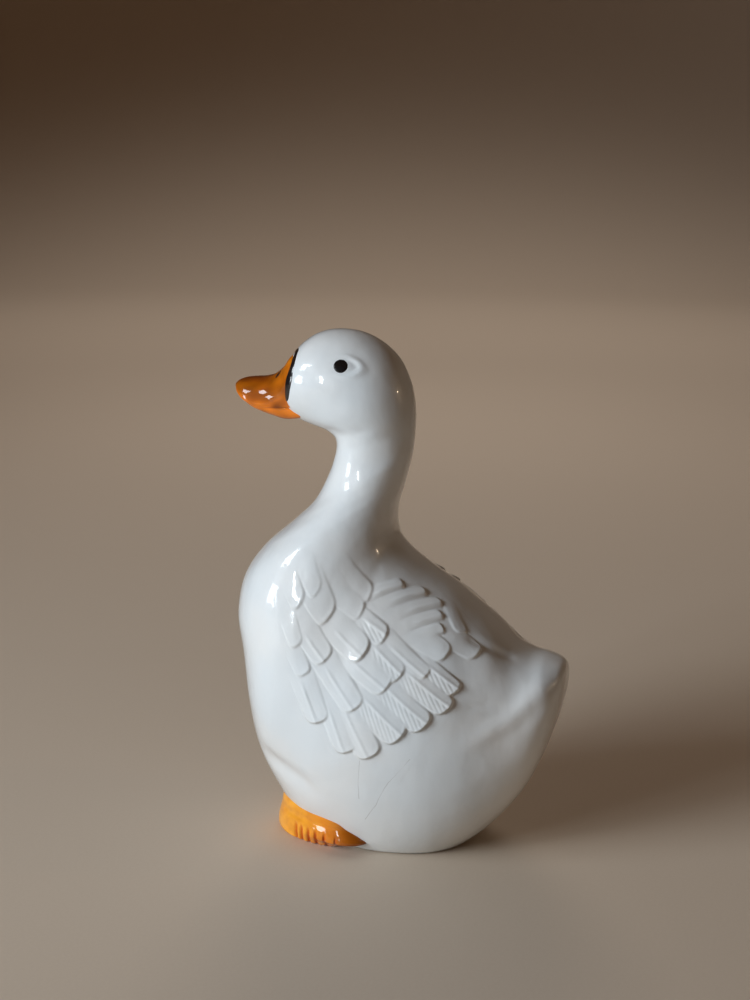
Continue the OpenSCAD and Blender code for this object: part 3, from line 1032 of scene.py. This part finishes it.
def bill_rings(side):
    """Closed sections of the upper (1) or lower (-1) bill, from root to tip.

    The upper one dips round the nostrils.
    """
    rings = []
    for t in np.linspace(0, len(BILL) - 1, int(64 * FINE) + 1):
        y, top, bottom, width, mouth, square, cheek = along(BILL, t)
        reach = top - mouth if side > 0 else mouth - bottom
        width = width if side > 0 else width * 0.9
        a = np.radians(np.arange(0, 180, 180 / 32))
        share = power(np.sin(a), square)
        swell = cheek * (1 - (1 - share) ** 3) if side > 0 else 0
        arch_x, arch_z = (width + swell) * power(np.cos(a), square), reach * share
        lip = min(0.5, 0.3 * reach)
        floor_x = -0.985 * width * np.cos(a)
        floor_z = -lip * np.sin(a) ** 0.5
        x, z = np.concatenate([arch_x, floor_x]), np.concatenate([arch_z, floor_z])
        rings.append(np.stack([x, np.full(64, y), mouth + side * z], -1))
    rings = np.array(rings)
    if side > 0:
        top = smooth(0.3, 0.7, (rings[..., 2] - rings[..., 2].min(1, keepdims=True)) / 9)
        rings[..., 2] -= nostril_dip(rings, 0.55, 1.6) * top
    return rings


def nostril_dip(points, depth, radius):
    """Depth of the soft hollow round each nostril."""
    left = np.stack([np.abs(points[..., 0]), points[..., 1], points[..., 2]], -1)
    stretched = (left - np.array(NOSTRIL_SPOT)) * (1, 0.6, 1)
    return depth * np.exp(-((np.linalg.norm(stretched, axis=-1) / radius) ** 2))


def bill_tint(points, side):
    """Amber over the top, red-brown along the ridge towards the tip, lighter along the mouth edge.
    """
    amber, rim = np.array([0.37, 0.092, 0.002]), np.array([0.84, 0.22, 0.015])
    brown, bright = np.array([0.17, 0.027, 0.002]), np.array([0.66, 0.19, 0.008])
    y, z = points[:, 1], points[:, 2]
    t = np.interp(-y, [-row[0] for row in BILL], range(len(BILL)))
    section = along(BILL, t)
    share = np.clip((z - section[:, 4]) / np.maximum(section[:, 1] - section[:, 4], 0.5), -1, 1)
    edge = np.exp(-((share / 0.22) ** 2)) if side > 0 else np.exp(-(((share + 0.1) / 0.35) ** 2))
    color = amber + (rim - amber) * (edge * 0.85)[:, None]
    ridge = smooth(0.72, 1.0, share) * smooth(-43, -48, y)
    color = color + (brown - color) * (ridge * 0.8)[:, None]
    root = smooth(-44, -38, y) * smooth(0.3, 0.9, share)
    color = color + (bright - color) * (root * 0.8)[:, None]
    # darker brown spot at the corner of the mouth
    mouth_corner_dark = np.exp(-(((y + 41) / 2.2) ** 2) - ((z - section[:, 4]) / 0.8) ** 2)
    color = color + (brown - color) * (mouth_corner_dark * 0.85)[:, None]
    blotch = 1 + 0.12 * waves(points, 21, 5.0)
    return np.clip(color * blotch[:, None], 0.002, 1)


def make_bill(material):
    for name, side in (("upper_bill", 1), ("lower_bill", -1)):
        points, faces = loft(bill_rings(side))
        bill = make(name, points, faces)
        per_point(bill, "tint", bill_tint(points, side), "FLOAT_COLOR")
        finish_piece(bill, [name], material)


def make_nostrils(material):
    points, faces = loft(bill_rings(1))
    tree = BVHTree.FromPolygons([Vector(p) for p in points], faces)
    out = unit(np.array([0.35, -0.45, 0.8]))
    ahead = level_ahead(out)
    up = np.cross(out, ahead)
    for name, side in (("left_nostril", 1), ("right_nostril", -1)):
        dome, sides = spot(tree, np.array(NOSTRIL_SPOT), out, ahead, up, (1.5, 1.25), 0.12)
        finish_piece(make(name, mirrored(dome, side), sides), [name], material)


# ---------------------------------------------------------------- feet


def foot_rings():
    """Sections of the left foot from the table up, and how deep each point lies in a groove."""
    count = int(480 * FINE)
    t = np.arange(count) * len(FOOT) / count
    outline = around(FOOT, t)
    outer = smooth(14, 17, outline[:, 0])
    heel = smooth(-40, -10, outline[:, 1]) * smooth(0, 6, outline[:, 0])
    top = np.array(FOOT_TOP)
    out = unit(outline - top)
    rings, hollows = [], []
    heights = [row[0] for row in FOOT_RINGS]
    for z in np.linspace(0, heights[-1], int(44 * FINE) + 1):
        size, drift = along(FOOT_RINGS, np.interp(z, heights, range(len(heights))))[1:]
        spread = top + (outline - top) * size + heel[:, None] * drift * np.array(HEEL_DRIFT)
        comb = sum(np.exp(-(((spread[:, 1] - y) / 0.55) ** 2)) for y in TOE_LINES)
        depth = comb * outer * (1 - smooth(4.4, 7.2, z))
        edge = 0.7 * max(0, 1 - z / 0.8) ** 2
        ledge = 0.45 * math.exp(-(((z - 8.6) / 1.3) ** 2)) * smooth(-40, -36, outline[:, 1])
        flat = spread - out * (0.9 * depth + edge + ledge)[:, None]
        rings.append(np.column_stack([flat, np.full(count, z)]))
        hollows.append(depth)
    return np.array(rings), np.array(hollows)


def foot_tint(points, hollow):
    """Yellow-orange on top, redder in the grooves, and painted shade as brown towards the heel,
    which lies under the belly.
    """
    yellow, orange = np.array([0.95, 0.40, 0.03]), np.array([0.80, 0.24, 0.012])
    red, brown = np.array([0.70, 0.10, 0.005]), np.array([0.24, 0.05, 0.003])
    y = points[:, 1]
    middle = np.clip(smooth(-34, -14, y) * 0.9 + 0.15 * waves(points, 5, 7), 0, 1)
    color = yellow + (orange - yellow) * middle[:, None]
    color = color + (red - color) * (np.clip(hollow, 0, 1) * 0.85)[:, None]
    # painted shade: the heel under the belly turns brown
    color = color + (brown - color) * (smooth(-19, -8, y) * 0.85)[:, None]
    return np.clip(color, 0.002, 1)


def make_feet(material):
    rings, hollow = foot_rings()
    points, faces = loft(rings)
    hollow = np.append(hollow.ravel(), [0, 0])
    a = np.arange(0, 360, 3.75)
    for name, side in (("left_foot", 1), ("right_foot", -1)):
        foot = make(name, mirrored(points, side), faces)
        per_point(foot, "tint", foot_tint(points, hollow), "FLOAT_COLOR")
        inner = [skin(np.full(96, t), a, 0.35) for t in np.arange(6.0, 16.1, 0.25)]
        cut(foot, [make("inner_body", *loft(inner))])
        smooth_faces(foot)
        finish_piece(foot, [name], material)


# ---------------------------------------------------------------- everything

make_camera()
make_studio()
glaze = white_glaze()
skin_tree = make_body(glaze)
make_base(biscuit())
make_wing("left_wing", 1, skin_tree, glaze)
make_wing("right_wing", -1, skin_tree, glaze)
make_bill(orange_glaze("bill_orange"))
make_band(skin_tree, dark_glaze("band_black", (0.006, 0.006, 0.008), (0.03, 0.018, 0.012)))
make_nostrils(dark_glaze("nostril_brown", (0.035, 0.010, 0.006), (0.14, 0.03, 0.01)))
make_eyes(skin_tree, dark_glaze("eye_black", (0.004, 0.004, 0.005), (0.012, 0.010, 0.010)))
make_feet(orange_glaze("foot_orange"))
